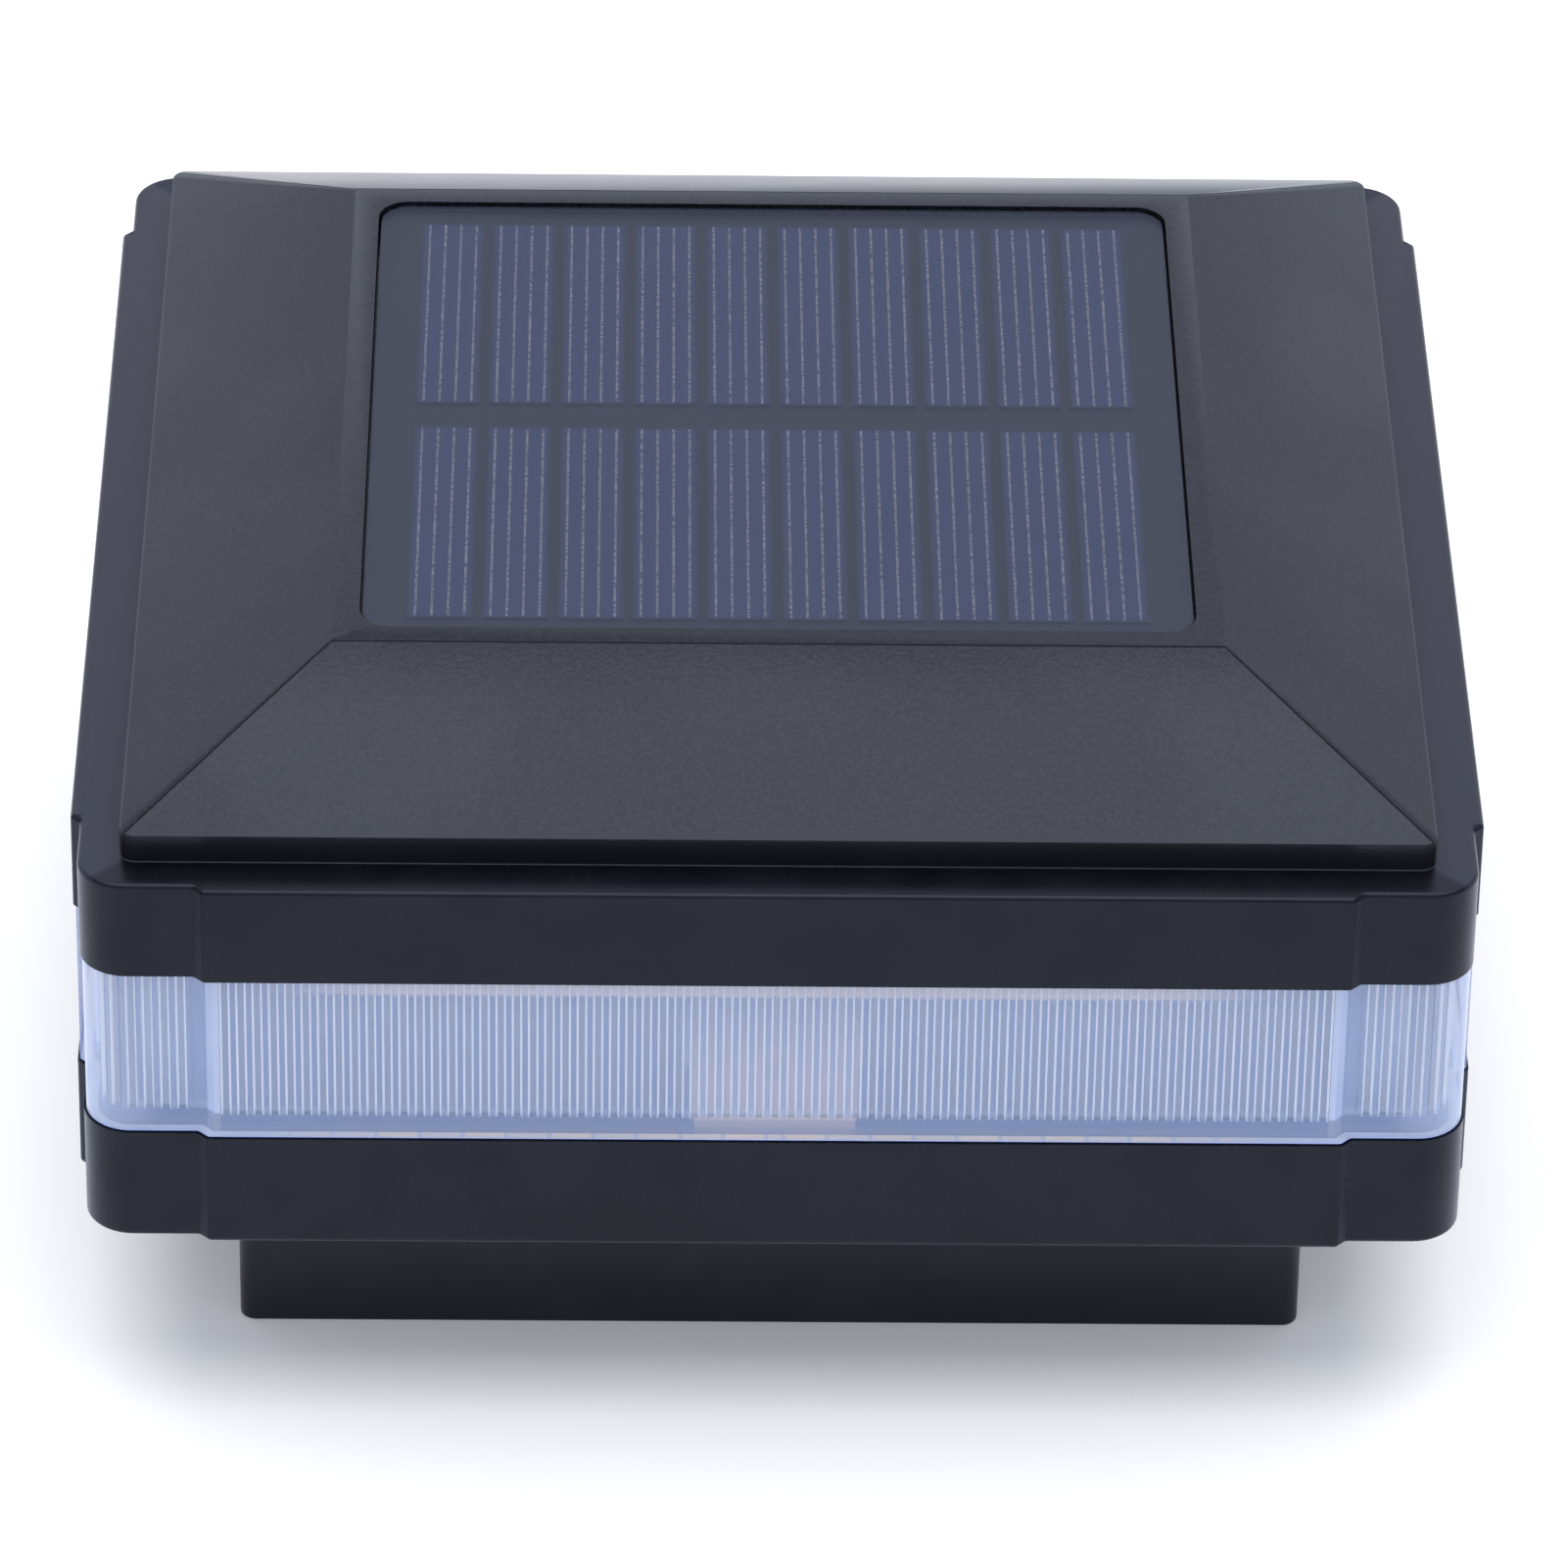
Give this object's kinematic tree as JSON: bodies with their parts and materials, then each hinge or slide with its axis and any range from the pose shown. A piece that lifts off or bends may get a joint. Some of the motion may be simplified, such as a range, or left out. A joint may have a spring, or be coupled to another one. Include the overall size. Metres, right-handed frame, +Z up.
{
  "type": "solar post cap light",
  "caption": "Square black post cap light with a hipped solar roof, a ribbed translucent light band and a sleeve that slips over a square post.",
  "frame": {"origin": "middle of the sleeve's lower rim", "axes": "+Z up through the roof, front face towards -Y"},
  "size_m": [0.172, 0.172, 0.0943],
  "materials": {
    "black_plastic": "satin, fine moulded grain",
    "lens_plastic": "clear, blue tint",
    "white_plastic": "matt white",
    "seal_rubber": "soft matt",
    "button_plastic": "soft matt",
    "adhesive_foam": "foam tape",
    "panel_board": "satin board",
    "panel_cover": "clear satin film",
    "solar_silicon": "dark blue silicon",
    "light_board": "white solder mask",
    "led_resin": "pale yellow resin",
    "circuit_board": "green solder mask",
    "chip_resin": "moulded resin",
    "ferrite": "grey ferrite",
    "capacitor_can": "drawn can",
    "socket_plastic": "natural nylon",
    "battery_sleeve": "shrunk plastic sleeve",
    "contact_metal": "nickel plated",
    "wire_insulation": "vinyl",
    "screw_steel": "zinc plated"
  },
  "bodies": {
    "housing": {"base_gasket": "seal_rubber", "base_tray": "black_plastic", "battery_cell": "battery_sleeve", "battery_contact_negative": "contact_metal", "battery_contact_positive": "contact_metal", "battery_leads": "wire_insulation", "board_screws": "screw_steel", "button_seal": "seal_rubber", "case_screws": "screw_steel", "collar_gasket": "seal_rubber", "control_board": "circuit_board", "control_chip": "chip_resin", "led_board_front": "light_board", "led_board_left": "light_board", "led_board_rear": "light_board", "led_board_right": "light_board", "led_leads": "wire_insulation", "leds": "led_resin", "lens_ring": "lens_plastic", "panel_adhesive": "adhesive_foam", "panel_backing": "panel_board", "panel_cover": "panel_cover", "panel_lead": "wire_insulation", "post_sleeve": "black_plastic", "power_inductor": "ferrite", "reflector": "white_plastic", "roof_cover": "black_plastic", "roof_screws": "screw_steel", "solar_cells": "solar_silicon", "storage_capacitor": "capacitor_can", "switch_body": "chip_resin", "upper_collar": "black_plastic", "wire_sockets": "socket_plastic"},
    "door": {"battery_door": "black_plastic", "battery_door_seal": "seal_rubber", "battery_door_screws": "screw_steel"},
    "button": {"switch_button": "button_plastic"}
  },
  "joints": [
    {"name": "battery_door_lift", "type": "slide", "parent": "housing", "child": "door", "axis": [0, 0, -1], "range_m": [0, 0.04]},
    {"name": "button_press", "type": "slide", "parent": "housing", "child": "button", "axis": [0, 0, 1], "range_m": [0, 0.002], "stiffness_N_per_m": 600, "springref_m": -0.001}
  ]
}
